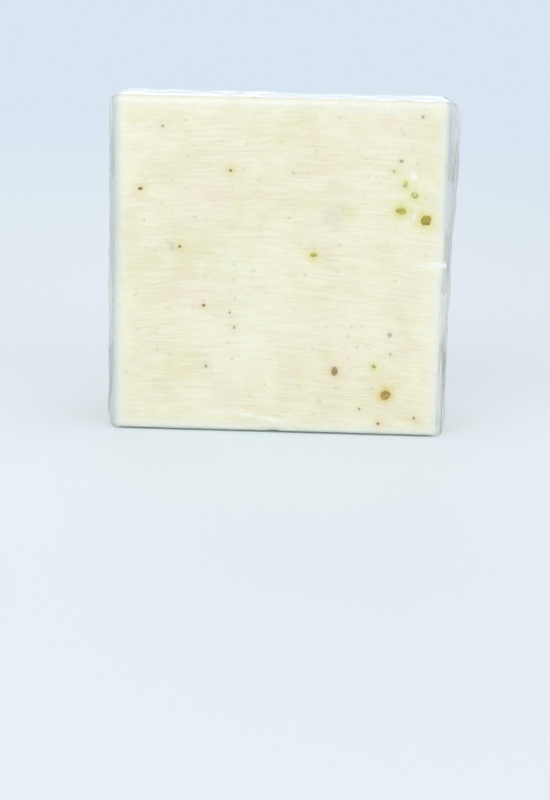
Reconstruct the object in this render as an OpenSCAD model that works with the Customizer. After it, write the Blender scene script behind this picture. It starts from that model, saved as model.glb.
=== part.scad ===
// Hand-cut bar of soap in a folded clear film.
// The bar stands on its narrow side: X is its width, Y its thickness with the front towards -Y,
// and Z its height. The origin is at the middle of the bottom of the wrapped bar.

/* [Soap] */
// Width of the bar
soap_w = 64; // [48:1:90]
// Height of the bar as it stands
soap_h = 65; // [48:1:90]
// Thickness of the bar
soap_t = 24; // [20:0.5:36]
// Radius of the bar's softened edges
edge_r = 0.8; // [0.4:0.1:3]

/* [Flecks] */
// Depth that a fleck reaches into the bar
fleck_deep = 0.8; // [0.3:0.1:2]
// Size of a large amber fleck
amber_size = 1.9; // [0.8:0.1:3]
// Size of a large brown fleck
brown_size = 1.0; // [0.4:0.1:2]
// Size of the grid cells that place the flecks on the sides, the back, the top and the bottom
fleck_cell = 8; // [6:0.5:16]
// Clear border that these flecks keep from an edge of the bar
fleck_border = 3.5; // [3:0.5:6]
// Number that sets the scatter of the flecks
scatter = 41; // [1:1:99]

/* [Film] */
// Thickness of the film, several times the real one so that it can be built
film_t = 0.1; // [0.06:0.01:0.3]
// Room between the bar and the film on the four sides of the sleeve
film_slack = 0.15; // [0.1:0.05:0.6]
// Width of the lap where the film closes on the back
lap_w = 12; // [5:1:20]
// Length of film that is folded in over each end
tail = 16; // [8:0.5:19]
// Room between the bar and the folds on the left
gap_left = 0.3; // [0.2:0.1:2]
// Room between the bar and the folds on the right, where the film stands off
gap_right = 0.8; // [0.2:0.1:2]
// Angle at which the outer flap of an end lifts from the fold below it
flap_lift = 1.5; // [0:0.5:6]

/* [Hidden] */

$fn = 48;

// Colours as the photo shows them.
soap_colour = "#ECE8D0";
amber_colour = "#AD9334";
brown_colour = "#6E5A3C";
film_colour = "#DCE8F0";

// The sleeve's inner and outer sizes around the bar, and its length with the folds' layers.
in_t = soap_t + 2 * film_slack;
in_h = soap_h + 2 * film_slack;
out_t = in_t + 2 * film_t;
out_h = in_h + 2 * film_t;
in_r = edge_r + film_slack;
out_r = in_r + film_t;
layers = 3;
fold_deep = layers * film_t;

// The lap's outer layer is centred this far outside the sleeve, so that it is rooted in the
// middle of the sleeve's wall.
lap_root = film_t / 4;

// The bar's centre above the surface that the wrapped bar stands on, and its shift to the left
// that keeps the wrapped bar centred on the origin.
bar_z = out_h / 2;
bar_x = (gap_left - gap_right) / 2;

// Flecks placed by hand on the front: share of the half width, share of the half height, and
// the fleck's width and height as shares of a large fleck's size.
amber_front = [
    [0.73, 0.37, 0.95, 0.75],
    [0.88, 0.31, 1.0, 1.05],
    [0.81, 0.46, 0.8, 0.65],
    [0.75, 0.52, 0.5, 0.65],
    [0.68, -0.75, 1.0, 1.1],
    [0.60, -0.58, 0.5, 0.5],
];
brown_front = [
    [0.36, -0.61, 1.0, 1.8],
    [0.21, 0.09, 1.2, 0.8],
    [-0.84, 0.46, 0.8, 0.8],
    [0.72, 0.66, 0.8, 0.7],
    [0.68, 0.60, 0.5, 0.5],
    [0.84, 0.92, 0.6, 0.5],
    [0.69, -0.38, 0.7, 0.7],
    [0.70, -0.50, 0.5, 0.5],
    [0.64, -0.93, 0.6, 0.6],
    [-0.45, -0.23, 0.8, 0.7],
    [-0.43, -0.60, 0.6, 0.7],
    [-0.30, 0.58, 0.5, 0.5],
    [-0.71, 0.83, 0.6, 0.5],
    [0.52, -0.84, 0.5, 0.5],
    [0.86, -0.89, 0.6, 0.6],
    [-0.29, -0.27, 0.5, 0.5],
    [-0.26, -0.36, 0.5, 0.5],
    [-0.60, 0.12, 0.5, 0.5],
];

// The grid cells on the other faces are dealt out to lots along a slanted pattern, so that the
// flecks of one kind never stand in rows.
lot_count = 7;
lot_step = [3, 5];
amber_lots = [0];
brown_lots = [2, 5];

// A fleck is broken to this many sides, and its corners reach unevenly far: shares of its size.
fleck_sides = 7;
corner_reach = [0.36, 0.56];

// The smallest scattered fleck, as a share of a large one.
small_share = 0.5;

// A rounded rectangle around the middle.
module rounded(w, h, r) {
    square([w - 2 * r, h], center = true);
    square([w, h - 2 * r], center = true);
    for (x = [-1, 1], y = [-1, 1])
        translate([x * (w / 2 - r), y * (h / 2 - r)])
            circle(r = r);
}

// The cross section of the bar or of the sleeve, run along X around the middle.
module run_along_x(length, t, h, r) {
    rotate([90, 0, 90])
        linear_extrude(length, center = true)
            rounded(t, h, r);
}

// The plain bar around its own middle: three rounded outlines, one along each axis.
module bar_block() {
    intersection() {
        run_along_x(soap_w, soap_t, soap_h, edge_r);
        rotate([90, 0, 0])
            linear_extrude(soap_t, center = true)
                rounded(soap_w, soap_h, edge_r);
        linear_extrude(soap_h, center = true)
            rounded(soap_w, soap_t, edge_r);
    }
}

// Moves what is drawn on the XY plane, facing +Z, to a face of the bar that looks along a
// direction given by two angles.
module on_face(tilt, turn, reach) {
    rotate([0, 0, turn])
        rotate([tilt, 0, 0])
            translate([0, 0, reach])
                children();
}

// An uneven fleck that reaches into the face which it is drawn on.
module fleck(w, h, seed) {
    reach = rands(corner_reach[0], corner_reach[1], fleck_sides, seed);
    step = 360 / fleck_sides;
    translate([0, 0, -fleck_deep])
        linear_extrude(2 * fleck_deep)
            polygon([for (i = [0:fleck_sides - 1])
                reach[i] * [w * cos(i * step), h * sin(i * step)]]);
}

// Flecks from a hand-made list, on the front of the bar.
module front_flecks(list, size) {
    on_face(90, 0, soap_t / 2)
        for (i = [0:len(list) - 1])
            translate([list[i][0] * soap_w / 2, list[i][1] * soap_h / 2])
                fleck(list[i][2] * size, list[i][3] * size, scatter + i);
}

// Scattered flecks on a face. A grid of cells covers it, and each fleck of the given lots lies
// somewhere inside a cell of its own.
module scattered(face_w, face_h, size, lots, seed) {
    across = max(1, floor((face_w - 2 * fleck_border) / fleck_cell));
    up = max(1, floor((face_h - 2 * fleck_border) / fleck_cell));
    cell = [(face_w - 2 * fleck_border) / across, (face_h - 2 * fleck_border) / up];
    play = [for (side = cell) side / 2 - size];
    for (i = [0:across - 1], j = [0:up - 1], lot = lots)
        if ((lot_step * [i, j] + seed) % lot_count == lot) {
            cell_seed = scatter + seed * across * up + i * up + j;
            drift = rands(-1, 1, 2, cell_seed);
            share = rands(small_share, 1, 2, cell_seed + scatter);
            translate([(i - (across - 1) / 2) * cell[0] + drift[0] * play[0],
                       (j - (up - 1) / 2) * cell[1] + drift[1] * play[1]])
                fleck(share[0] * size, share[1] * size, cell_seed);
        }
}

// The scattered flecks of one kind on the five faces that the front list does not cover.
module other_flecks(size, lots) {
    on_face(90, 180, soap_t / 2)
        scattered(soap_w, soap_h, size, lots, 0);
    on_face(90, 90, soap_w / 2)
        scattered(soap_t, soap_h, size, lots, 1);
    on_face(90, -90, soap_w / 2)
        scattered(soap_t, soap_h, size, lots, 2);
    on_face(0, 0, soap_h / 2)
        scattered(soap_w, soap_t, size, lots, 3);
    on_face(180, 0, soap_h / 2)
        scattered(soap_w, soap_t, size, lots, 4);
}

module amber_prisms() {
    front_flecks(amber_front, amber_size);
    other_flecks(amber_size, amber_lots);
}

module brown_prisms() {
    front_flecks(brown_front, brown_size);
    other_flecks(brown_size, brown_lots);
}

// Puts what is drawn around the bar's middle where the bar stands.
module place_bar() {
    translate([bar_x, 0, bar_z])
        children();
}

// The soap itself, with a pocket for every fleck that was cast into it.
module soap_bar() {
    color(soap_colour)
        place_bar()
            difference() {
                bar_block();
                amber_prisms();
                brown_prisms();
            }
}

// Golden crumbs, flush with the faces that the cutting wire left.
module amber_flecks() {
    color(amber_colour)
        place_bar()
            intersection() {
                bar_block();
                amber_prisms();
            }
}

// Small brown bits, flush in the same way.
module brown_flecks() {
    color(brown_colour)
        place_bar()
            intersection() {
                bar_block();
                brown_prisms();
            }
}

// One layer of an end fold, drawn with X towards the back and Y up around the end's middle.
module fold_layer(level) {
    translate([0, 0, level * film_t])
        linear_extrude(film_t)
            children();
}

// The outline of a flap that folds in from the edge at -X: its corners are mitred at 45 degrees.
module flap_outline() {
    polygon([
        [-out_t / 2, -out_h / 2],
        [-out_t / 2, out_h / 2],
        [-out_t / 2 + tail, out_h / 2 - tail],
        [-out_t / 2 + tail, -out_h / 2 + tail],
    ]);
}

// The folds that close one end: the top and bottom panels first, the back flap over them and
// the front flap over both, which lifts a little at its free edge.
module end_folds() {
    lift = tail * sin(flap_lift);
    intersection() {
        linear_extrude(fold_deep + lift)
            rounded(out_t, out_h, out_r);
        union() {
            for (side = [-1, 1])
                fold_layer(0)
                    translate([0, side * (out_h - tail) / 2])
                        square([out_t, tail], center = true);
            fold_layer(1)
                mirror([1, 0])
                    flap_outline();
            translate([-out_t / 2, 0, 0])
                rotate([0, -flap_lift, 0])
                    translate([out_t / 2, 0, 0])
                        fold_layer(layers - 1)
                            flap_outline();
        }
    }
}

// The sleeve around the bar. At each end it runs to the middle of the outermost flap's layer.
module sleeve() {
    length = soap_w + gap_left + gap_right + (2 * layers - 1) * film_t;
    difference() {
        run_along_x(length, out_t, out_h, out_r);
        run_along_x(length + 2 * film_t, in_t, in_h, in_r);
    }
    translate([0, out_t / 2 + lap_root, 0])
        cube([length, 2 * (film_t - lap_root), lap_w], center = true);
}

// The clear film: one sheet wrapped around the bar, lapped on the back and folded in at the ends.
module film_wrap() {
    half = (soap_w + gap_left + gap_right) / 2;
    color(film_colour, 0.3)
        translate([0, 0, bar_z]) {
            sleeve();
            translate([half, 0, 0])
                rotate([90, 0, 90])
                    end_folds();
            mirror([1, 0, 0])
                translate([half, 0, 0])
                    rotate([90, 0, 90])
                        end_folds();
        }
}

soap_bar();
amber_flecks();
brown_flecks();
film_wrap();
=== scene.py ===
# %% [markdown]
# # A hand-cut bar of soap in clear film
# The bar is a cast block of cream soap that a wire has cut to size, with golden crumbs and
# brown bits in it, and a clear film folded around it. The solids of the part give every piece
# its size and place. This lesson gives them their looks, one piece after the other: the soap,
# the crumbs, the film, and then a small photo studio.

# %% Load the fixed frame
import math
import random

import bmesh
import bpy
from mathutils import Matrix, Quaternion, Vector, kdtree, noise


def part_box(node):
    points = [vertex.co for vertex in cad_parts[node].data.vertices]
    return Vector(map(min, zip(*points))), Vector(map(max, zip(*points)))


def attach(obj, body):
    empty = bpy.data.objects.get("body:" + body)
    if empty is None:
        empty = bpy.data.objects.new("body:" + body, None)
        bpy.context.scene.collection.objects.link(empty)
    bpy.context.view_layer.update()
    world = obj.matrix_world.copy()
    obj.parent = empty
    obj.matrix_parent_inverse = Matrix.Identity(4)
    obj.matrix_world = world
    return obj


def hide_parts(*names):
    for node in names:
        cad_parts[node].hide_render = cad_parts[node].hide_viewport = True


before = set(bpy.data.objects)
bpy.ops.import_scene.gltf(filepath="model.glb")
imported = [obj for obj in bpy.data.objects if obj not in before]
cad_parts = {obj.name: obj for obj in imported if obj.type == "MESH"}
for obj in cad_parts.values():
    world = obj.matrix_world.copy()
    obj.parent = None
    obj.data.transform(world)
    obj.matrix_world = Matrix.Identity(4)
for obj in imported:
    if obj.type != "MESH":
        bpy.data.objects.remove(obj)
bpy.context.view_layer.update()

scene = bpy.context.scene
MM = 0.001
soap_low, soap_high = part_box("soap_bar")
soap_size = soap_high - soap_low
soap_middle = (soap_low + soap_high) / 2
film_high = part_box("film_wrap")[1]
print("soap size in mm:", [round(side / MM, 2) for side in soap_size])

# %% [markdown]
# ## The camera
# The photo was taken from a little above the bar and almost straight in front of it, so the
# front face fills the view and the top shows as a thin bright line. The camera stands at the
# same place. A longer lens brings the bar closer without changing how its sides converge. The
# picture is turned a little over one degree, as a picture held by hand is.

# %% Camera
CAMERA_FROM_FRONT = 325 * MM
CAMERA_OVER_TOP = 16 * MM
CAMERA_ASIDE = 5.4 * MM
CAMERA_ROLL = math.radians(1.4)
LENS_MM = 76
AIM_HEIGHT = 0.1

lens = bpy.data.cameras.new("camera")
lens.lens = LENS_MM
lens.sensor_width = 36
lens.clip_start = 0.01
camera = bpy.data.objects.new("camera", lens)
scene.collection.objects.link(camera)
scene.camera = camera
camera.location = (CAMERA_ASIDE, soap_low.y - CAMERA_FROM_FRONT, soap_high.z + CAMERA_OVER_TOP)
aim = Vector((soap_middle.x, soap_low.y, soap_low.z + AIM_HEIGHT * soap_size.z))
level_view = (aim - camera.location).to_track_quat("-Z", "Y")
camera.rotation_mode = "QUATERNION"
camera.rotation_quaternion = level_view @ Quaternion((0, 0, 1), CAMERA_ROLL)
print("camera distance in mm:", round((aim - camera.location).length / MM))

# %% [markdown]
# ## Finishes as expressions
# A finish is a network of nodes, and most of its nodes do sums. A small class wraps a node's
# output, so that a sum is written as Python and adds its own Math node. One method makes every
# other kind of node.


# %% Helpers for finishes
class Wire:
    """A node's output. Sums on it add Math nodes."""

    def __init__(self, finish, socket):
        self.finish = finish
        self.socket = socket

    def __add__(self, other):
        return self.finish.maths("ADD", self, other)

    def __sub__(self, other):
        return self.finish.maths("SUBTRACT", self, other)

    def __rsub__(self, other):
        return self.finish.maths("SUBTRACT", other, self)

    def __mul__(self, other):
        return self.finish.maths("MULTIPLY", self, other)

    def __truediv__(self, other):
        return self.finish.maths("DIVIDE", self, other)

    __radd__ = __add__
    __rmul__ = __mul__


class Finish:
    """The nodes of a material or of the world, added one by one."""

    def __init__(self, owner):
        self.owner = owner
        owner.use_nodes = True
        self.tree = owner.node_tree
        self.tree.nodes.clear()

    def feed(self, socket, value):
        """Links a wire to a socket, or writes a value on it."""
        if isinstance(value, Wire):
            self.tree.links.new(value.socket, socket)
        else:
            socket.default_value = value

    def add(self, kind, sockets=None, out=0, **settings):
        """Adds a node of one kind, its settings first, and returns one output or several."""
        node = self.tree.nodes.new("ShaderNode" + kind)
        for key, value in settings.items():
            setattr(node, key, value)
        for key, value in (sockets or {}).items():
            self.feed(node.inputs[key], value)
        if not len(node.outputs):
            return None
        if isinstance(out, tuple):
            return [Wire(self, node.outputs[name]) for name in out]
        return Wire(self, node.outputs[out])

    def maths(self, operation, first, second=0.0, clamp=False):
        return self.add("Math", {0: first, 1: second}, operation=operation, use_clamp=clamp)

    def step(self, value, low, high):
        """0 below low, 1 above high, and a soft rise between them."""
        return self.add("MapRange", {"Value": value, "From Min": low, "From Max": high},
                        interpolation_type="SMOOTHSTEP")

    def blend(self, share, first, second, how="MIX"):
        """A colour between two colours, or a first colour that a second one works on."""
        return self.add("Mix", {0: share, 6: first, 7: second}, out=2, data_type="RGBA",
                        blend_type=how)

    def spots(self, place, scale, share, radius):
        """Soft spots: a share of the cells of a scattered pattern holds one, of its own size."""
        away, lot = self.add("TexVoronoi", {"Vector": place, "Scale": scale},
                             out=("Distance", "Color"))
        drawn, size = self.add("SeparateColor", {0: lot}, out=("Red", "Green"))
        held = self.maths("LESS_THAN", drawn, share)
        return held * (1 - self.step(away / (size * radius + 0.4 * radius), 0, 1))

    def patch(self, place, jolt, middle, reach):
        """A ragged soft patch around a place on the front, given in millimetres."""
        across, up = middle
        middle = Vector((soap_middle.x + across * MM, soap_low.y, soap_low.z + up * MM))
        away = self.add("VectorMath", {0: place, 1: middle}, out="Value", operation="DISTANCE")
        return 1 - self.step(away + (jolt - 0.5) * reach * 2 * MM, 0, reach * MM)

    def near_edge(self, place):
        """How far a place on the bar's face is from the nearest edge: its middle distance."""
        inside = self.add("VectorMath", {0: place, 1: soap_middle}, operation="SUBTRACT")
        inside = self.add("VectorMath", {0: inside}, operation="ABSOLUTE")
        room = self.add("VectorMath", {0: soap_size / 2, 1: inside}, operation="SUBTRACT")
        a, b, c = self.add("SeparateXYZ", {0: room}, out=("X", "Y", "Z"))
        lower, upper = self.maths("MINIMUM", a, b), self.maths("MAXIMUM", a, b)
        return self.maths("MAXIMUM", lower, self.maths("MINIMUM", upper, c))

    def output(self, shader, kind="OutputMaterial"):
        self.add(kind, {"Surface": shader})
        return self.owner


def new_material(name):
    return bpy.data.materials.new(name)


def colour(red, green, blue):
    """The linear colour of a colour that a screen shows as these three numbers up to 255."""
    linear = [c / 255 / 12.92 if c < 11 else ((c / 255 + 0.055) / 1.055) ** 2.4
              for c in (red, green, blue)]
    return (*linear, 1.0)


# %% [markdown]
# ## Where the crumbs are
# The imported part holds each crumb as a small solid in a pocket. The soap is darker around a
# crumb and the crumb sits level with the soap, so both need to know where the crumbs are. A
# crumb is found as an island of a node's mesh: its corners that hang together by edges.


# %% Find the crumbs
class Crumb:
    """One island of a node: its middle on the soap's face, the face's normal and its size."""

    def __init__(self, corners):
        low = Vector([min(c[axis] for c in corners) for axis in range(3)])
        high = Vector([max(c[axis] for c in corners) for axis in range(3)])
        room = [(abs(edge[axis] - face[axis]), axis, sign)
                for axis in range(3)
                for sign, edge, face in ((-1, low, soap_low), (1, high, soap_high))]
        axis, sign = min(room)[1:]
        self.normal = Vector([sign if i == axis else 0 for i in range(3)])
        self.point = (low + high) / 2
        self.point[axis] = soap_high[axis] if sign > 0 else soap_low[axis]
        self.size = high - low
        self.size[axis] = 0
        self.width = max(self.size)


def find_crumbs(node):
    """The crumbs of a node, in an order that depends on their places only."""
    shape = bmesh.new()
    shape.from_mesh(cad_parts[node].data)
    bmesh.ops.remove_doubles(shape, verts=shape.verts, dist=0.001 * MM)
    waiting = set(shape.verts)
    crumbs = []
    while waiting:
        island = [waiting.pop()]
        for corner in island:
            for edge in corner.link_edges:
                other = edge.other_vert(corner)
                if other in waiting:
                    waiting.remove(other)
                    island.append(other)
        crumbs.append(Crumb([corner.co.copy() for corner in island]))
    shape.free()
    return sorted(crumbs, key=lambda crumb: tuple(crumb.point))


amber = find_crumbs("amber_flecks")
brown = find_crumbs("brown_flecks")
print("crumbs found:", len(amber), "amber and", len(brown), "brown")

# %% [markdown]
# Crumbs of dried petal, peel and bran are never one colour. Each crumb gets a tone, and with
# it the tone of the stain that its oil has left in the soap. The crumbs that show best on the
# front are named by their place, and the others draw a tone by lot.

# %% Tones of the crumbs
OLIVE = colour(206, 196, 80), colour(228, 220, 124)
DARK_OLIVE = colour(178, 164, 0), colour(232, 216, 80)
PALE_OLIVE = colour(222, 220, 156), colour(234, 231, 160)
LIME = colour(236, 238, 184), colour(234, 233, 160)
GOLD = colour(192, 153, 0), colour(232, 202, 30)
RUST = colour(168, 140, 60), colour(234, 206, 150)
GREY = colour(200, 197, 162), colour(230, 227, 198)
FAINT = colour(216, 215, 186), colour(236, 235, 212)
UMBER = colour(132, 126, 38), colour(230, 212, 140)
DUN = colour(206, 188, 138), colour(234, 222, 180)

front_tones = [
    # the place on the front, as X and Z in millimetres from the middle of the bar's foot
    ((23.1, 44.8), OLIVE),
    ((27.9, 42.8), DARK_OLIVE),
    ((25.7, 47.7), PALE_OLIVE),
    ((23.8, 49.7), PALE_OLIVE),
    ((21.5, 8.4), GOLD),
    ((19.0, 13.9), LIME),
    ((11.3, 12.9), RUST),
    ((6.5, 35.7), OLIVE),
    ((-27.1, 47.7), UMBER),
    ((22.8, 54.2), GREY),
    ((20.3, 2.5), RUST),
    ((26.6, 62.6), FAINT),
]
SAME_PLACE = 1.2 * MM
random.seed(3)


def give_tone(crumb, choices):
    """Sets a crumb's own colour and the colour of its stain."""
    crumb.tone, crumb.stain = random.choice(choices)
    for (x, z), named in front_tones:
        place = Vector((x * MM, soap_low.y, z * MM))
        if crumb.normal.y < 0 and (crumb.point - place).length < SAME_PLACE:
            crumb.tone, crumb.stain = named


for crumb in amber:
    give_tone(crumb, [OLIVE, DARK_OLIVE, GOLD, PALE_OLIVE])
    crumb.soaked = 0.95
for crumb in brown:
    give_tone(crumb, [DUN, GREY, DUN, UMBER, GREY])
    crumb.soaked = 0.65

# %% [markdown]
# ## The soap's surface
# A wire that is pulled through soap leaves shallow lines across its way. They run level, bend
# a little towards the ends, and fade in and out. The bar was handled after it was cut, so its
# faces are a touch uneven, its edges are soft and some are nicked. Real height in the mesh
# gives all of this from any side, and only the finest grain is left to bump.
#
# One function says how far the surface lies inside the plain block. The crumbs use it too.


# %% How worn the surface is
EDGE_R = 0.8 * MM
NICKS = 26
NICK_WIDE = 1.0, 2.6
NICK_DEEP = 0.10, 0.38
SWELL_SPAN = 19 * MM
SWELL_DEEP = 0.10 * MM
LINE_PITCH = 0.75 * MM
LINE_RUN = 16 * MM
LINE_DEEP = 0.055 * MM
RIB_PITCH = 2.3 * MM
RIB_RUN = 30 * MM
RIB_DEEP = 0.06 * MM
CUT_PATCH = 11 * MM
EDGE_SPAN = 3.4 * MM
EDGE_WORN = 0.10
EDGE_UNEVEN = 0.22
ARCH_MIDDLE = 5 * MM
ARCH = 330 * MM
random.seed(7)


def nick():
    """A random place on one of the block's twelve edges, with the nick's size and depth."""
    axis = random.randrange(3)
    place = [random.choice((soap_low[i], soap_high[i])) for i in range(3)]
    place[axis] = random.uniform(soap_low[axis], soap_high[axis])
    return Vector(place), random.uniform(*NICK_WIDE) * MM, random.uniform(*NICK_DEEP) * MM


nicks = [nick() for _ in range(NICKS)]


def round_off(point, low, high, radius):
    """The nearest point of a box with rounded edges, and the normal there."""
    core = Vector([min(max(point[i], low[i] + radius), high[i] - radius) for i in range(3)])
    normal = (point - core).normalized()
    return core + normal * radius, normal


def wear(point, normal):
    """How far the surface lies inside the plain block at a point, in metres."""
    flat = max(abs(normal.x), abs(normal.y), abs(normal.z)) ** 6
    swell = 0.5 + 0.5 * noise.noise(point / SWELL_SPAN)
    soft = 0.5 + 0.5 * noise.noise(point / EDGE_SPAN + Vector((9, 2, 5)))
    drag = point.z + (point.x + ARCH_MIDDLE) ** 2 / ARCH
    lines = noise.noise(Vector((point.x / LINE_RUN, point.y / LINE_RUN, drag / LINE_PITCH)))
    ribs = noise.noise(Vector((point.x / RIB_RUN, point.y / RIB_RUN, drag / RIB_PITCH + 40)))
    patch = 0.5 + 0.5 * noise.noise(point / CUT_PATCH + Vector((3, 8, 1)))
    cut = (0.5 + 0.5 * lines) * LINE_DEEP * patch + (0.5 + 0.5 * ribs) * RIB_DEEP
    depth = SWELL_DEEP * swell + cut * flat * (0.35 + 0.65 * abs(normal.y))
    depth += (1 - flat) * (EDGE_WORN + EDGE_UNEVEN * soft) * MM
    for place, size, deep in nicks:
        away = (point - place).length
        if away < size:
            depth += deep * (1 - (away / size) ** 2) ** 2
    return depth


# %% [markdown]
# ## The block
# A cube is scaled to the bar, its edges are bevelled round, and every long edge is subdivided,
# so that a grid of small squares covers the bar and runs through the rounded edges. Then each
# corner of the grid moves in by the wear at its place. Two attributes go with each corner: how
# much of a crumb's oil has soaked into the soap there, and the colour of that stain.

# %% Soap block
GRID = 0.42 * MM
HALO_REACH = 0.75 * MM


def grid_block(size, radius, pitch):
    """A block with round edges around the origin, covered with a grid."""
    shape = bmesh.new()
    bmesh.ops.create_cube(shape, size=1)
    bmesh.ops.scale(shape, vec=size, verts=shape.verts)
    bmesh.ops.bevel(shape, geom=shape.edges[:], affect="EDGES", offset=radius, segments=4,
                    profile=0.5, material=-1)
    for axis in range(3):
        long = [edge for edge in shape.edges
                if abs((edge.verts[0].co - edge.verts[1].co)[axis]) > size[axis] / 2]
        bmesh.ops.subdivide_edges(shape, edges=long, cuts=round(size[axis] / pitch),
                                  use_grid_fill=True)
    return shape


def new_piece(name, shape, finish, body="root"):
    """Makes an object of a bmesh, gives it its finish and lets it ride on a body."""
    mesh = bpy.data.meshes.new(name)
    shape.to_mesh(mesh)
    shape.free()
    for face in mesh.polygons:
        face.use_smooth = True
    piece = bpy.data.objects.new(name, mesh)
    scene.collection.objects.link(piece)
    mesh.materials.append(finish)
    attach(piece, body)
    print(name, "has", len(mesh.polygons), "faces")
    return piece


soap_shape = grid_block(soap_size, EDGE_R, GRID)
bmesh.ops.translate(soap_shape, vec=soap_middle, verts=soap_shape.verts)

crumb_tree = kdtree.KDTree(len(amber) + len(brown))
for index, crumb in enumerate(amber + brown):
    crumb_tree.insert(crumb.point, index)
crumb_tree.balance()

halo_layer = soap_shape.verts.layers.float.new("halo")
stain_layer = soap_shape.verts.layers.float_color.new("stain")
for corner in soap_shape.verts:
    corner.co, normal = round_off(corner.co, soap_low, soap_high, EDGE_R)
    place, index, away = crumb_tree.find(corner.co)
    crumb = (amber + brown)[index]
    spread = HALO_REACH + 0.5 * crumb.width
    uneven = 1 + 0.5 * noise.noise(corner.co / (0.9 * MM))
    corner[halo_layer] = math.exp(-((away * uneven / spread) ** 2)) * crumb.soaked
    corner[stain_layer] = crumb.stain
    corner.co -= normal * wear(corner.co, normal)

# %% [markdown]
# ## The soap's finish
# Soap is pale cream and lets light in a little way, so its shader has some subsurface
# scattering. The cream is never even: it has yellower and paler clouds, and the wire has drawn
# fine level lines through it, which bow a little. The lines come from noise that is squeezed
# flat, on a height that bows with X. The line noise is also most of the bump's height, so the
# darker lines, in its grooves, are painted shade, and the paler lines are partly a painted
# highlight on its ridges.
#
# Small specks and oily stains lie between the crumbs. The clouds and the crowds of specks that
# show best on the front are placed one by one, and along its edges the soap is painted a cooler
# white, a painted highlight of the film's sheen over the edges.

# %% Soap finish
CREAM = colour(243, 238, 212)
BUTTER = colour(235, 228, 192)
CHALK = colour(247, 245, 229)
# painted shade for the grooves of the wire lines
GROOVE_SHADE = colour(227, 220, 190)
ROSE = colour(240, 229, 209)
MOSS = colour(234, 233, 202)
EDGE_SHEEN = colour(237, 240, 232)
# painted highlight: the film's sheen along the edges
DUSTY = colour(222, 210, 188)
SPECK = colour(176, 174, 140)
GRIT = colour(146, 142, 116)
OILY = colour(222, 216, 150)
BOW_MIDDLE = 5 * MM
BOW = 620 * MM
WOBBLE = 1.4 * MM
LINES_ALONG = 150
LINES_UP = 2300
BANDS_ALONG = 55
BANDS_UP = 800
SHEEN_REACH = 0.8 * MM, 2.8 * MM
front_clouds = [
    # soft patches on the front: the place and the reach in millimetres, colour and strength
    ((-20, 33), 10, BUTTER, 0.6),
    ((-22, 11), 10, BUTTER, 0.5),
    ((5, 57), 11, BUTTER, 0.5),
    ((-14, 46), 8, ROSE, 0.7),
    ((-17, 28), 6, ROSE, 0.7),
    ((8, 20), 9, ROSE, 0.4),
    ((-4, 22), 13, CHALK, 0.4),
    ((10.7, 43), 3.0, DUSTY, 0.4),
]
front_specks = [
    # places on the front where small grey specks crowd, with the reach and the strength
    ((-9.3, 24), 4.5, 0.9),
    ((-21, 37), 3.5, 0.5),
    ((10.7, 43), 3.0, 0.7),
    ((-22, 12), 3.0, 0.5),
]


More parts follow.
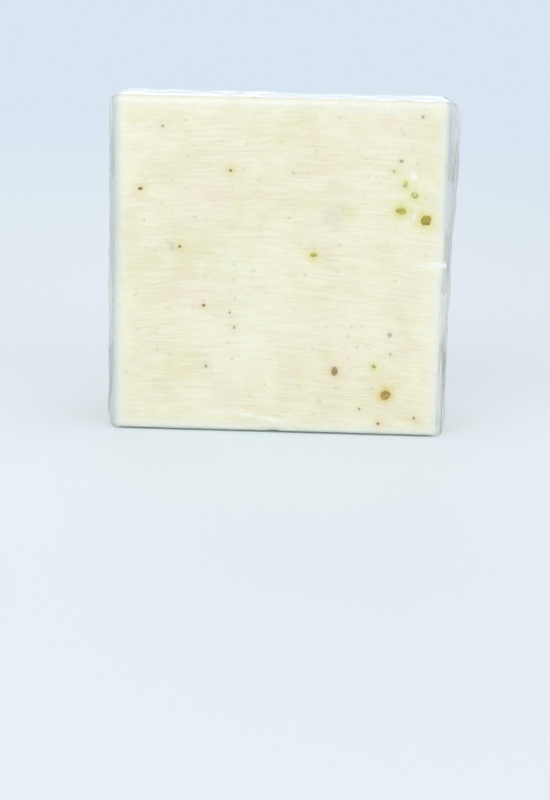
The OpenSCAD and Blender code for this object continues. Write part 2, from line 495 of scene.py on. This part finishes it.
def soap_finish():
    f = Finish(new_material("cream_soap"))
    place = f.add("TexCoord", out="Object")
    x, y, z = f.add("SeparateXYZ", {0: place}, out=("X", "Y", "Z"))
    bowed = z + (x + BOW_MIDDLE) * (x + BOW_MIDDLE) / BOW
    wisps = f.add("TexNoise", {"Vector": place, "Scale": 230, "Detail": 4, "Roughness": 0.65})
    bowed = bowed + (wisps - 0.5) * WOBBLE
    fine = f.add("CombineXYZ", {
        "X": x * LINES_ALONG, "Y": y * LINES_ALONG, "Z": bowed * LINES_UP})
    broad = f.add("CombineXYZ", {
        "X": x * BANDS_ALONG, "Y": y * BANDS_ALONG, "Z": bowed * BANDS_UP})
    clouds = f.add("TexNoise", {"Vector": place, "Scale": 75, "Detail": 3, "Distortion": 0.6})
    hues = f.add("TexNoise", {"Vector": place, "Scale": 130, "Detail": 4, "Roughness": 0.6})
    lines = f.add("TexNoise", {"Vector": fine, "Scale": 1, "Detail": 2, "Roughness": 0.6})
    bands = f.add("TexNoise", {"Vector": broad, "Scale": 1, "Detail": 3, "Roughness": 0.6})
    grain = f.add("TexNoise", {"Vector": place, "Scale": 2600, "Detail": 2})
    yellow = f.step(clouds * 0.65 + wisps * 0.35, 0.42, 0.62)
    # Partly paler clouds, partly a painted highlight on the ridges of the line bump.
    pale = f.step(lines * 0.5 + bands * 0.15 + wisps * 0.35, 0.44, 0.62)
    shade = f.blend(yellow, CREAM, BUTTER)
    shade = f.blend(f.step(hues, 0.5, 0.66) * 0.6, shade, ROSE)
    shade = f.blend((1 - f.step(hues, 0.34, 0.5)) * 0.6, shade, MOSS)
    for middle, reach, tone, strength in front_clouds:
        shade = f.blend(f.patch(place, wisps, middle, reach) * strength, shade, tone)
    shade = f.blend(pale * 0.6, shade, CHALK)
    # Painted shade: darker where the line noise is low, in the grooves of the same bump.
    shade = f.blend((1 - f.step(lines, 0.30, 0.47)) * 0.35, shade, GROOVE_SHADE)
    jolt = f.add("TexNoise", {"Vector": place, "Scale": 900}, out="Color")
    ragged = f.add("VectorMath", {0: jolt, 1: (1.6 * MM,) * 3, 2: place},
                   operation="MULTIPLY_ADD")
    shade = f.blend(f.spots(ragged, 105, 0.5, 0.22) * 0.35, shade, OILY)
    shade = f.blend(f.spots(ragged, 430, 0.55, 0.3) * 0.5, shade, SPECK)
    small = f.spots(ragged, 440, 0.75, 0.42)
    for middle, reach, strength in front_specks:
        shade = f.blend(f.patch(place, wisps, middle, reach) * small * strength, shade, GRIT)
    # Painted highlight: the film's pale sheen along the bar's edges, painted into the soap as a
    # cooler white.
    sheen_reach = f.near_edge(place) + (wisps - 0.5) * 4 * MM
    shade = f.blend((1 - f.step(sheen_reach, *SHEEN_REACH)) * 0.6, shade, EDGE_SHEEN)
    halo = f.add("Attribute", attribute_name="halo", out="Fac")
    stain = f.add("Attribute", attribute_name="stain", out="Color")
    shade = f.blend(halo, shade, stain)
    height = lines * 0.55 + wisps * 0.3 + grain * 0.15
    bumps = f.add("Bump", {"Height": height, "Strength": 0.6, "Distance": 0.12 * MM})
    return f.output(f.add("BsdfPrincipled", {
        "Base Color": shade,
        "Roughness": wisps * 0.25 + 0.38,
        "Normal": bumps,
        "Subsurface Weight": 0.5,
        "Subsurface Radius": (2.2 * MM, 1.8 * MM, 1.1 * MM),
        "Subsurface Scale": 1.0,
        "Specular IOR Level": 0.4,
    }))


soap = new_piece("soap_block", soap_shape, soap_finish())
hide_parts("soap_bar")

# %% [markdown]
# ## The crumbs
# The wire cut through the crumbs together with the soap, so each one is a small uneven lump
# with a flat top that stands a hair above the soap. A sphere of triangles is pushed in and out
# by noise, and what would stand too high is pressed flat. A crumb is darkest in its middle.


# %% Crumbs
CRUMB_DEEP = 0.55 * MM
CRUMB_PROUD = 0.05 * MM
CRUMB_HALF = 0.56
CRUMB_CORE = 0.18
CRUMB_SHADE = (0.6, 0.55, 0.35, 1)
CRUMB_LIGHT = (1.12, 1.12, 0.9, 1)


def crumb_lump(shape, tint, crumb, seed):
    """Adds one crumb to a bmesh, level with the worn surface."""
    made = bmesh.ops.create_icosphere(shape, subdivisions=2, radius=1)["verts"]
    turn = crumb.normal.to_track_quat("Z", "Y")
    local = turn.inverted() @ crumb.size
    half = Vector((CRUMB_HALF * abs(local.x), CRUMB_HALF * abs(local.y), CRUMB_DEEP))
    surface = crumb.point - crumb.normal * wear(crumb.point, crumb.normal)
    for corner in made:
        core = 1 - CRUMB_CORE * max(corner.co.z, 0) ** 2
        corner[tint] = (*(Vector(crumb.tone[:3]) * core), 1)
        uneven = 1 + 0.5 * noise.noise(corner.co * 1.5 + Vector((seed, 0, 0)))
        lump = Vector([corner.co[i] * half[i] for i in range(3)]) * uneven
        lump.z = min(lump.z, CRUMB_PROUD * (0.4 + 0.6 * uneven))
        corner.co = surface + turn @ lump


def crumb_finish(name, rough):
    f = Finish(new_material(name))
    place = f.add("TexCoord", out="Object")
    tone = f.add("Attribute", attribute_name="tone", out="Color")
    patches = f.add("TexNoise", {"Vector": place, "Scale": 1800, "Detail": 3})
    grain = f.add("TexNoise", {"Vector": place, "Scale": 4200, "Detail": 2})
    bumps = f.add("Bump", {"Height": grain, "Strength": 0.6, "Distance": 0.08 * MM})
    shade = f.blend(1 - f.step(patches, 0.38, 0.52), tone, CRUMB_SHADE, "MULTIPLY")
    return f.output(f.add("BsdfPrincipled", {
        "Base Color": f.blend(f.step(patches, 0.54, 0.64), shade, CRUMB_LIGHT, "MULTIPLY"),
        "Roughness": rough,
        "Normal": bumps,
        "Subsurface Weight": 0.15,
        "Subsurface Radius": (0.4 * MM, 0.35 * MM, 0.2 * MM),
        "Subsurface Scale": 1.0,
        "Specular IOR Level": 0.1,
    }))


def crumb_piece(name, crumbs, node, finish):
    shape = bmesh.new()
    tint = shape.verts.layers.float_color.new("tone")
    for seed, crumb in enumerate(crumbs):
        crumb_lump(shape, tint, crumb, seed)
    piece = new_piece(name, shape, finish)
    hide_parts(node)


crumb_piece("amber_crumbs", amber, "amber_flecks",
            crumb_finish("amber_crumb", 0.5))
crumb_piece("brown_bits", brown, "brown_flecks",
            crumb_finish("brown_bit", 0.6))

# %% [markdown]
# ## The film, from a flat sheet
# The film is one flat sheet. It goes around the bar from the back, over the top, down the
# front and under the bottom to the back again, where it laps. At each end the top and bottom
# edges are folded in first, and the back and front flaps close over them like a parcel's.
#
# So the piece starts as a flat grid, and one function says where a point of the sheet goes.
# That keeps every length true, and the mitred corners come out by themselves. Each layer of an
# end lies a little above the one below it, and the front flap, the outermost, lifts at its edge.

# %% Sheet sizes
LAP = 12 * MM
TAIL = 16 * MM
FILM_R = 1.0 * MM
LAYER = 0.11 * MM
FILM_T = 0.04 * MM
LIFT = 0.45 * MM
FRONT_FLAP = 4
BACK_FLAP = 2
CREASE_HALF = 0.9 * MM
RISE = 2 * MM
SLEEVE_ROOM = 0.2 * MM
END_ROOM = 0.5 * MM

film_half = Vector((
    film_high.x - END_ROOM,
    soap_size.y / 2 + SLEEVE_ROOM,
    soap_size.z / 2 + SLEEVE_ROOM,
))
film_centre = Vector((0, soap_middle.y, soap_middle.z))
girth = 4 * (film_half.y + film_half.z)
sheet_long = girth + LAP
sheet_wide = 2 * (film_half.x + TAIL)
print("flat sheet in mm:", round(sheet_long / MM), "by", round(sheet_wide / MM))


# %% Folding the sheet
def smooth(value, low, high):
    """0 below low, 1 above high, and a soft rise between them."""
    share = min(max((value - low) / (high - low), 0), 1)
    return share * share * (3 - 2 * share)


def around(v):
    """Where a length along the sheet comes to: the panel, and Y and Z on the plain section."""
    half_y, half_z = film_half.y, film_half.z
    ends = [half_z + LAP / 2]
    ends.append(ends[0] + 2 * half_y)
    ends.append(ends[1] + 2 * half_z)
    ends.append(ends[2] + 2 * half_y)
    if v < ends[0]:
        return "back", half_y, v - LAP / 2
    if v < ends[1]:
        return "top", half_y - (v - ends[0]), half_z
    if v < ends[2]:
        return "front", -half_y, half_z - (v - ends[1])
    if v < ends[3]:
        return "bottom", -half_y + (v - ends[2]), -half_z
    return "outer_back", half_y, -half_z + (v - ends[3])


def folded(panel, x, y, z):
    """The place of a sheet point on the plain box, and the height of its layer in layers."""
    past = abs(x) - film_half.x
    if past <= 0:
        return Vector((x, y, z)), 0
    side = math.copysign(1, x)
    up = math.copysign(1, z)
    if panel in ("top", "bottom"):
        return Vector((side * film_half.x, y, up * (film_half.z - past))), 0
    front = -1 if panel == "front" else 1
    from_corner = film_half.z - abs(z)
    flap_level = FRONT_FLAP if front < 0 else BACK_FLAP
    crease = smooth(abs(from_corner - past), 0, CREASE_HALF)
    if from_corner >= past:
        place = Vector((side * film_half.x, front * (film_half.y - past), z))
        level = flap_level - 0.5 + 0.5 * crease
        rise = smooth(past, 0, RISE)
        lift = LIFT / LAYER * (past / TAIL) ** 2 * smooth(from_corner - past, 0, 6 * MM)
        return place, (level + (lift if front < 0 else 0)) * rise
    place = Vector((side * film_half.x, front * (film_half.y - from_corner),
                    up * (film_half.z - past)))
    level = flap_level - 0.5 - 0.5 * crease
    return place, level * smooth(from_corner, 0, RISE)


# %% [markdown]
# ## Wrinkles
# Film that is pulled around a bar lies tight on the big faces, with a few long soft waves. It
# puckers along the edges of the ends, where it was gathered, is loose over the top, and stands
# off the bar's right side, most of all near the top corner. The layers of an end share their
# crumples, so that they don't cross. Nothing moves the film into the soap.


# %% Wrinkles of the film
END_ZONE = 9 * MM
WAVE = 0.09 * MM
PUCKER_FLAT = 0.02
PUCKER_END = 0.16
LOOSE_TOP = 0.34 * MM
OFF_FLOOR = 1.5 * MM
WAIST_Z = 34.1 * MM
LOWER_Z = 20 * MM
CROWN_RISE = 37 * MM, 48 * MM
CROWN_FALL = 62 * MM, 67 * MM
WAIST_IN = 0.10
LOWER_IN = 0.15
UNEVEN_IN = 0.12
CROWN_OUT = 0.45
CRUMPLE = 0.45 * MM
HAZE_NEAR_END = 0.12
HAZE_AT_FOLD = 0.35
HAZE_OVER_TOP = 0.06
creases = [
    # start and end on the front, as X and Z in millimetres, then height, half width and haze;
    # where the haze is strong it is a painted highlight, a white glint on the crease
    ((33.0, 34.2), (27.0, 33.9), 0.32, 0.45, 2.0),
    ((33.0, 34.2), (29.0, 39.5), 0.14, 0.5, 0.2),
    ((-32.5, 60.0), (-20.0, 50.0), 0.05, 0.9, 0.05),
    ((-32.5, 5.0), (-12.0, 14.5), 0.05, 0.9, 0.05),
    ((32.5, 60.0), (21.0, 55.0), 0.05, 0.8, 0.05),
    ((32.5, 5.5), (20.0, 10.5), 0.06, 0.9, 0.05),
    ((-7.0, 3.7), (-17.0, 4.4), 0.12, 0.5, 0.7),
    ((-7.0, 3.7), (6.0, 1.4), 0.14, 0.5, 1.1),
    ((25.2, 51.2), (24.6, 51.1), 0.10, 0.7, 1.5),
]


def on_crease(x, z):
    """The height and haze the front's creases add at a place; strong haze is a painted highlight.
    """
    height = haze_and_glint = 0
    for (x1, z1), (x2, z2), tall, half, white in creases:
        start = Vector((x1, z1)) * MM
        run = Vector((x2, z2)) * MM - start
        here = Vector((x, z)) - start
        along = min(max(here.dot(run) / run.length_squared, 0), 1)
        away = (here - run * along).length / (half * MM)
        share = math.exp(-away * away) * (1 - 0.9 * along) ** 0.7
        height += tall * MM * share
        # A strong crease haze is a painted highlight: a white glint along the crease.
        haze_and_glint = max(haze_and_glint, white * share)
    return height, haze_and_glint


def wrinkle(panel, v, x, place):
    """How far the film stands off the plain wrapping, in metres, and how hazy it is there, which
    includes the painted highlights of the front's creases.
    """
    near_end = smooth(abs(x), film_half.x - END_ZONE, film_half.x)
    over_top = 1 if panel == "top" else smooth(place.z, film_half.z - 3 * MM, film_half.z)
    flow = Vector((x / (26 * MM), v / (9 * MM), 0.5))
    waves = 0.5 + 0.5 * noise.noise(flow)
    pucker = abs(noise.noise(Vector((x / (10 * MM), v / (2.6 * MM), 7))))
    fine = 0.5 + 0.5 * noise.noise(Vector((x / (3.5 * MM), v / (3 * MM), 3)))
    loose = abs(noise.noise(Vector((x / (6.5 * MM), v / (16 * MM), 21))))
    height = WAVE * waves + (PUCKER_FLAT + PUCKER_END * near_end) * MM * pucker
    height += 0.03 * MM * near_end * fine + LOOSE_TOP * over_top * loose
    haze_and_glint = HAZE_NEAR_END * near_end ** 2
    haze_and_glint += HAZE_AT_FOLD * smooth(abs(x), film_half.x - 3 * MM, film_half.x)
    haze_and_glint += HAZE_OVER_TOP * over_top
    if panel == "front" and abs(x) < film_half.x:
        tall, white = on_crease(x, place.z + film_centre.z - soap_low.z)
        height += tall
        haze_and_glint = max(haze_and_glint, white)
    off_floor = smooth(place.z, -film_half.z, -film_half.z + OFF_FLOOR)
    return height * off_floor, haze_and_glint


def pinch(place):
    """How far to the left the film moves at a point near its right or left end, in metres."""
    z = place.z + film_centre.z
    right = smooth(place.x, film_half.x - 3 * MM, film_half.x)
    left = smooth(-place.x, film_half.x - 2 * MM, film_half.x)
    waist = math.exp(-(((z - WAIST_Z) / (3 * MM)) ** 2))
    lower = math.exp(-(((z - LOWER_Z) / (6 * MM)) ** 2))
    crown = smooth(z, *CROWN_RISE) * (1 - smooth(z, *CROWN_FALL))
    uneven = 0.5 + 0.5 * noise.noise(Vector((z / (8 * MM), place.y / (14 * MM), 2)))
    gather = WAIST_IN * waist + LOWER_IN * lower + UNEVEN_IN * uneven - CROWN_OUT * crown
    return right * gather * MM - left * 0.1 * uneven * MM


def crumple(place):
    """How far the folded ends stand off in crumples, which all their layers share."""
    across = Vector((place.y / (5 * MM), place.z / (8 * MM), math.copysign(9, place.x)))
    return CRUMPLE * abs(noise.noise(across))


# %% [markdown]
# The grid's rows and columns are finer where the sheet folds. Near a corner both have the same
# marks, so the line at 45 degrees on which the sheet is mitred runs through corners of the
# grid, and each square on it is split along it. That keeps the mitres straight.

# %% Film sheet
BORDER = 0.8 * MM
RAGGED = 0.05
HAZE_AT_BORDER = 0.5
HAZE_ON_MITRE = 0.35
HAZE_ON_ENDS = 0.45
SHADOW_STREAK_ON_BACK = 0.5
CORNER_RUN = 3 * MM
CORNER_PITCH = 0.4 * MM
TAIL_PITCH = 0.65 * MM
FLAT_PITCH = 1.0 * MM
SIDE_PITCH = 0.6 * MM
FRONT_PITCH = 0.48 * MM
END_PITCH = 0.5 * MM


def marks(stretches):
    """Places along the sheet, in stretches of a length with a pitch of their own."""
    places = [0.0]
    for length, pitch in stretches:
        steps = round(length / pitch)
        start = places[-1]
        places += [start + length * (step + 1) / steps for step in range(steps)]
    return places


def shadow_streaks(panel, x, z):
    """How much painted shade darkens the film beside an end of a big face, where the film turns
    on end: a painted shadow of the bar's edge there.

    The front's right side is darkest in its upper half, and the left side in its middle.
    """
    if panel in ("top", "bottom") or abs(x) > film_half.x:
        return 0
    share = smooth(abs(x), film_half.x - 2.4 * MM, film_half.x - 0.2 * MM)
    drawn = 0.5 + 0.5 * noise.noise(Vector((x / (0.5 * MM), z / (20 * MM), 6)))
    strong = SHADOW_STREAK_ON_BACK
    if panel == "front" and x > 0:
        strong = 0.3 + 0.7 * smooth(z, 4 * MM, 14 * MM)
    if panel == "front" and x < 0:
        strong = 1.1 - 0.35 * smooth(abs(z), 16 * MM, 28 * MM)
    return share * strong * (0.35 + 0.65 * drawn)


def film_sheet():
    shape = bmesh.new()
    haze_and_glint_layer = shape.verts.layers.float.new("haze_and_glint")
    end_layer = shape.verts.layers.float.new("end")
    shadow_streak_layer = shape.verts.layers.float.new("shadow_streak")
    fold = [(CORNER_RUN, CORNER_PITCH), (TAIL - CORNER_RUN, TAIL_PITCH)]
    end = fold[::-1] + [(END_ZONE, END_PITCH)]
    middle = (2 * (film_half.x - END_ZONE), FLAT_PITCH)
    columns = marks(end + [middle] + end[::-1])
    back = [(film_half.z + LAP / 2 - TAIL, FLAT_PITCH)] + fold[::-1]
    over = [(2 * film_half.y, SIDE_PITCH)]
    front = fold + [(2 * (film_half.z - TAIL), FRONT_PITCH)] + fold[::-1]
    rows = marks(back + over + front + over + back[::-1])
    on_mitre = []
    bmesh.ops.create_grid(shape, x_segments=len(columns) - 1, y_segments=len(rows) - 1, size=0.5)
    for corner in shape.verts:
        v = rows[round((corner.co.y + 0.5) * (len(rows) - 1))]
        panel, y, z = around(v)
        x = columns[round((corner.co.x + 0.5) * (len(columns) - 1))] - sheet_wide / 2
        border = min(v, sheet_long - v, sheet_wide / 2 - abs(x))
        past = abs(x) - film_half.x
        off_mitre = TAIL if panel in ("top", "bottom") else abs(film_half.z - abs(z) - past)
        if past > 0:
            ragged = RAGGED * noise.noise(Vector((v / (12 * MM), 4, 0)))
            ragged *= smooth(off_mitre, 0, 3 * MM)
            x = math.copysign(film_half.x + past * (1 + ragged), x)
            if off_mitre < 0.01 * MM:
                on_mitre.append(corner)
        place, level = folded(panel, x, y, z)
        moved, normal = round_off(place, -film_half, film_half, FILM_R)
        end_on = smooth(abs(x), film_half.x - 0.5 * MM, film_half.x + 1.5 * MM)
        outer = 1 if panel == "outer_back" and z < LAP / 2 and abs(x) < film_half.x else 0
        outer *= smooth(z, -LAP / 2 - 2 * MM, -LAP / 2)
        height, haze_and_glint = wrinkle(panel, v, x, place)
        mitre = 1 - smooth(off_mitre, 0, 0.6 * MM) if past > 0 else 0
        if past > 0:
            clouds = noise.noise(Vector((y / (1.6 * MM), z / (14 * MM), 8)))
            haze_and_glint = HAZE_ON_ENDS * smooth(clouds, 0, 0.5)
        moved += normal * (height + outer * LAYER)
        moved.x += math.copysign(level * LAYER + crumple(place), x) * end_on
        moved.x -= pinch(place)
        corner.co = moved + film_centre
        at_border = 1 - smooth(border, 0, BORDER)
        corner[haze_and_glint_layer] = max(haze_and_glint, HAZE_AT_BORDER * at_border, HAZE_ON_MITRE * mitre)
        corner[end_layer] = end_on
        corner[shadow_streak_layer] = shadow_streaks(panel, x, z)
    bmesh.ops.connect_verts(shape, verts=on_mitre)
    print("corners of the sheet on a mitre:", len(on_mitre))
    return shape


# %% [markdown]
# ## The film's finish
# Clear film is all reflection. Head on it sends back a few hundredths of the light, and at a
# grazing angle nearly all, which is what the Fresnel node gives. The film has two skins, and
# Solidify makes both, so each skin has its own share, and the share is turned round for a ray
# that meets a skin from inside. A little haze keeps the soap behind it soft. The mesh says where
# the haze is strong: along the creases, at the cut borders and where the film is gathered, and
# on a few front creases it is strong enough to be a painted highlight, a white glint. It also
# says where shade is painted into the film: dark streaks beside the ends of the big faces, a
# painted shadow of the bar's edges. At the ends, where several layers stand on edge, the film
# looks smoky against the light, and mirrors less than one clean sheet, because it is crumpled.
# Light from the lamps passes the film freely, because what it would lose there it gets back from
# the light that real film scatters.


# %% Film finish
FILM_IOR = 1.4
HAZE_AND_GLINT_WHITE = colour(248, 249, 247)
# the tint for smoke at the ends and for painted shade in the streaks
SMOKE_AND_SHADE = (0.76, 0.81, 0.84, 1)
SMOKE_AT_ENDS = 0.08
SHADE_IN_STREAKS = 0.85
LESS_MIRROR_AT_ENDS = 0.45
VEIL = 0.04
VEIL_LEAST = 0.01
GLINT_AND_HAZE = 0.45


def film_finish():
    f = Finish(new_material("clear_film"))
    place = f.add("TexCoord", out="Object")
    patches = f.add("TexNoise", {"Vector": place, "Scale": 75, "Detail": 2})
    scuffs = f.add("TexNoise", {"Vector": place, "Scale": 900, "Detail": 3, "Roughness": 0.7})
    ripples = f.add("TexNoise", {"Vector": place, "Scale": 260, "Detail": 2})
    bumps = f.add("Bump", {"Height": ripples, "Strength": 0.3, "Distance": 0.15 * MM})
    edge_on = f.add("LayerWeight", {"Blend": 0.5}, out="Facing")
    end = f.add("Attribute", attribute_name="end", out="Fac")
    clear = f.add("BsdfTransparent", {"Color": (0.998, 0.999, 1, 1)})
    smoky_and_shaded = f.add("BsdfTransparent", {"Color": SMOKE_AND_SHADE})
    shadow_streak = f.add("Attribute", attribute_name="shadow_streak", out="Fac")
    # Painted shade: dark streaks beside the ends of the big faces, a painted shadow of the bar's
    # edges.
    smoke_and_shade = end * f.step(edge_on, 0.6, 1.0) * SMOKE_AT_ENDS + shadow_streak * SHADE_IN_STREAKS
    through = f.add("MixShader", {0: smoke_and_shade, 1: clear, 2: smoky_and_shaded})
    shine = f.add("BsdfGlossy", {"Roughness": 0.17, "Normal": bumps})
    haze_and_glint = f.add("BsdfDiffuse", {"Color": HAZE_AND_GLINT_WHITE})
    inside = f.add("NewGeometry", out="Backfacing")
    mirrored = f.add("Fresnel", {"IOR": FILM_IOR - inside * (FILM_IOR - 1 / FILM_IOR),
                                 "Normal": bumps})
    veil_and_glint = f.step(patches, 0.45, 0.7) * VEIL + f.step(scuffs, 0.5, 0.8) * VEIL + VEIL_LEAST
    # The mesh's haze also carries the painted highlights of the front's creases.
    veil_and_glint = veil_and_glint + f.add("Attribute", attribute_name="haze_and_glint", out="Fac") * GLINT_AND_HAZE
    hazy_and_glinting = f.add("MixShader", {0: veil_and_glint, 1: through, 2: haze_and_glint})
    mirrored = mirrored * (1 - end * LESS_MIRROR_AT_ENDS)
    film = f.add("MixShader", {0: mirrored, 1: hazy_and_glinting, 2: shine})
    from_lamp = f.add("LightPath", out="Is Shadow Ray")
    let_by = f.add("BsdfTransparent", {"Color": (1, 1, 1, 1)})
    return f.output(f.add("MixShader", {0: from_lamp, 1: film, 2: let_by}))


film = new_piece("film_sheet", film_sheet(), film_finish())
thickness = film.modifiers.new("film_thickness", "SOLIDIFY")
thickness.thickness = FILM_T
thickness.offset = 1
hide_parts("film_wrap")

# %% [markdown]
# ## The studio
# The bar stands on a wide pale floor. Far away, what a picture sees of the floor turns into the
# backdrop's plain colour, so that floor and backdrop meet without a line from every side. Near
# the bar the floor is a real surface, lit by the lamps, and keeps the bar's shadow.


# %% Floor and backdrop
FLOOR = colour(239, 249, 255)
BACKDROP = colour(217, 229, 241)
FLOOR_NEAR = 0.15
FLOOR_FAR = 0.9


def in_picture(f):
    """1 for a ray that ends in a picture: straight from the camera, off gloss or through glass."""
    straight, glossy, through = f.add(
        "LightPath", out=("Is Camera Ray", "Is Glossy Ray", "Is Transmission Ray"))
    return f.maths("MAXIMUM", straight, f.maths("MAXIMUM", glossy, through))


def floor_finish():
    f = Finish(new_material("pale_floor"))
    place = f.add("TexCoord", out="Object")
    away = f.add("VectorMath", {0: place}, out="Value", operation="LENGTH")
    lit = f.add("BsdfPrincipled", {
        "Base Color": FLOOR,
        "Roughness": 0.7,
        "Specular IOR Level": 0.2,
    })
    plain = f.add("Emission", {"Color": BACKDROP, "Strength": 1})
    far = f.step(away, FLOOR_NEAR, FLOOR_FAR) * in_picture(f)
    return f.output(f.add("MixShader", {0: far, 1: lit, 2: plain}))


floor_shape = bmesh.new()
bmesh.ops.create_circle(floor_shape, cap_ends=True, segments=64, radius=4)
floor_mesh = bpy.data.meshes.new("studio_floor")
floor_shape.to_mesh(floor_mesh)
floor_shape.free()
floor_mesh.materials.append(floor_finish())
studio_floor = bpy.data.objects.new("studio_floor", floor_mesh)
scene.collection.objects.link(studio_floor)


# %% [markdown]
# Four square lamps light the bar: a key from the left, a fill from the right, one overhead, and
# one behind that draws the bright line along the top. The room itself gives the rest.


# %% Lamps and room
def lamp(name, place, size, watts):
    """A square soft lamp that looks at the bar's middle."""
    light = bpy.data.lights.new(name, "AREA")
    light.size = size
    light.energy = watts
    made = bpy.data.objects.new(name, light)
    scene.collection.objects.link(made)
    made.location = place
    made.rotation_mode = "QUATERNION"
    made.rotation_quaternion = (soap_middle - made.location).to_track_quat("-Z", "Y")
    made.visible_camera = False


lamp("key", Vector((-0.45, -0.95, 0.5)), 1.1, 4.6)
lamp("fill", Vector((0.7, -0.8, 0.4)), 1.0, 2.7)
lamp("overhead", Vector((0.1, 0.1, 1.1)), 1.1, 2.5)
lamp("behind", Vector((-0.15, 0.95, 0.42)), 0.6, 0.9)


def soft_room():
    f = Finish(bpy.data.worlds.new("soft_room"))
    light = f.add("Background", {"Color": (1, 1, 1, 1), "Strength": 0.53})
    seen = f.add("Background", {"Color": BACKDROP, "Strength": 1})
    return f.output(f.add("MixShader", {0: in_picture(f), 1: light, 2: seen}), "OutputWorld")


scene.world = soft_room()
scene.view_settings.view_transform = "Standard"
scene.cycles.transparent_max_bounces = 40
